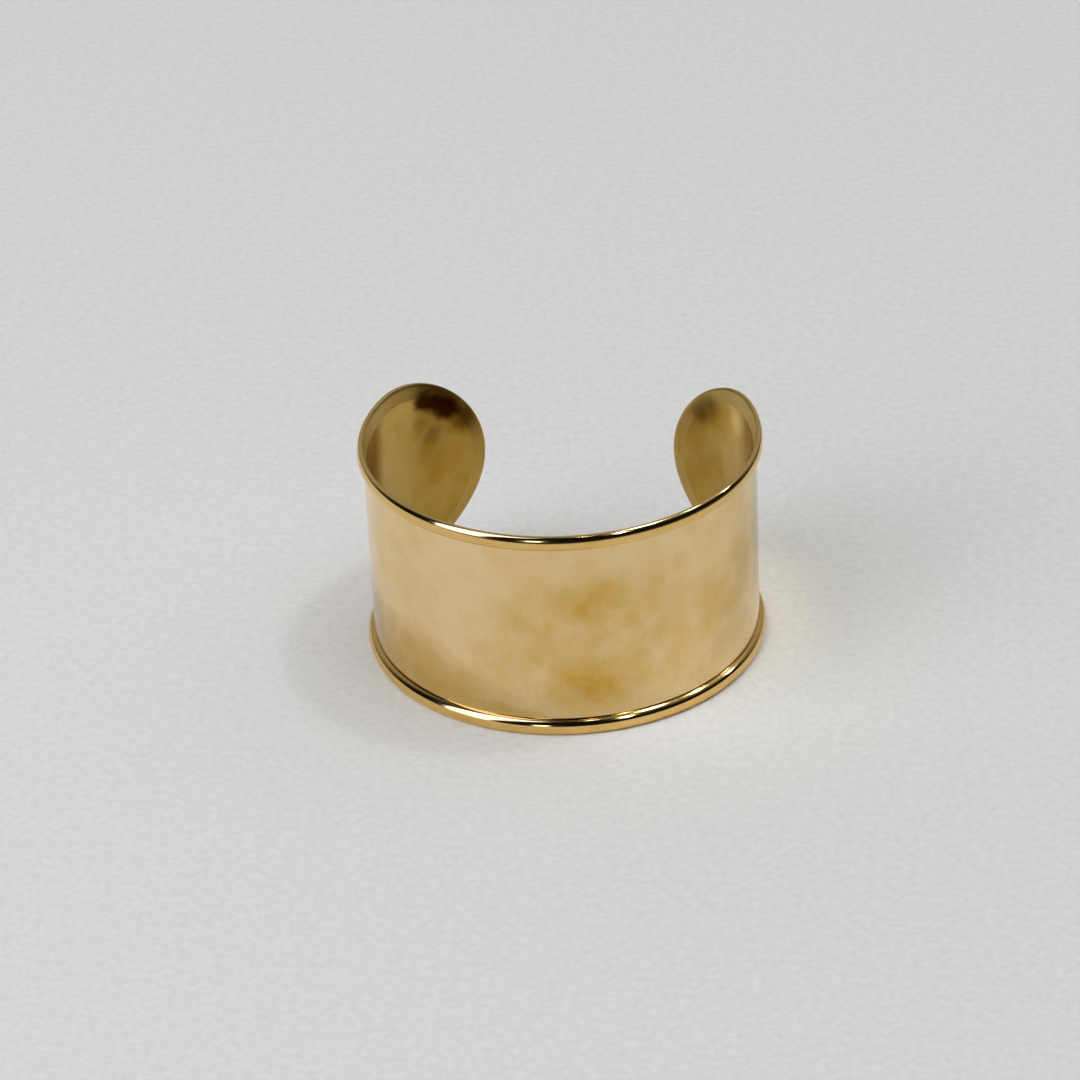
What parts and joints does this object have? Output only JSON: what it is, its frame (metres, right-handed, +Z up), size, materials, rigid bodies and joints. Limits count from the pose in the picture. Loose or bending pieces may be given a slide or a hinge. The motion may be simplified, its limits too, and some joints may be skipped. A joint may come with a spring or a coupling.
{
  "type": "cuff bangle",
  "caption": "Open cuff bangle for the wrist: a plain polished band with round ends and a slim rolled bead round its whole edge.",
  "frame": {"origin": "on the surface that the lower bead rests on, under the middle of the cuff's width and depth; the centre of the wrist circle is 2.2 mm behind it, at Y = +2.2 mm", "axes": "+Z up along the axis of the wrist, -Y towards the closed front of the cuff, +Y towards the gap between the two ends, X across the wrist from one arm of the cuff to the other"},
  "size_m": [0.0606, 0.0562, 0.0339],
  "materials": {
    "polished_brass": "light gold brass, softly polished and a little hazy on the band's outer face, bright mirror polish on the rolled bead, slightly darker and tarnished inside near the ends"
  },
  "bodies": {
    "root": {"cuff_band": "polished_brass"}
  },
  "joints": []
}
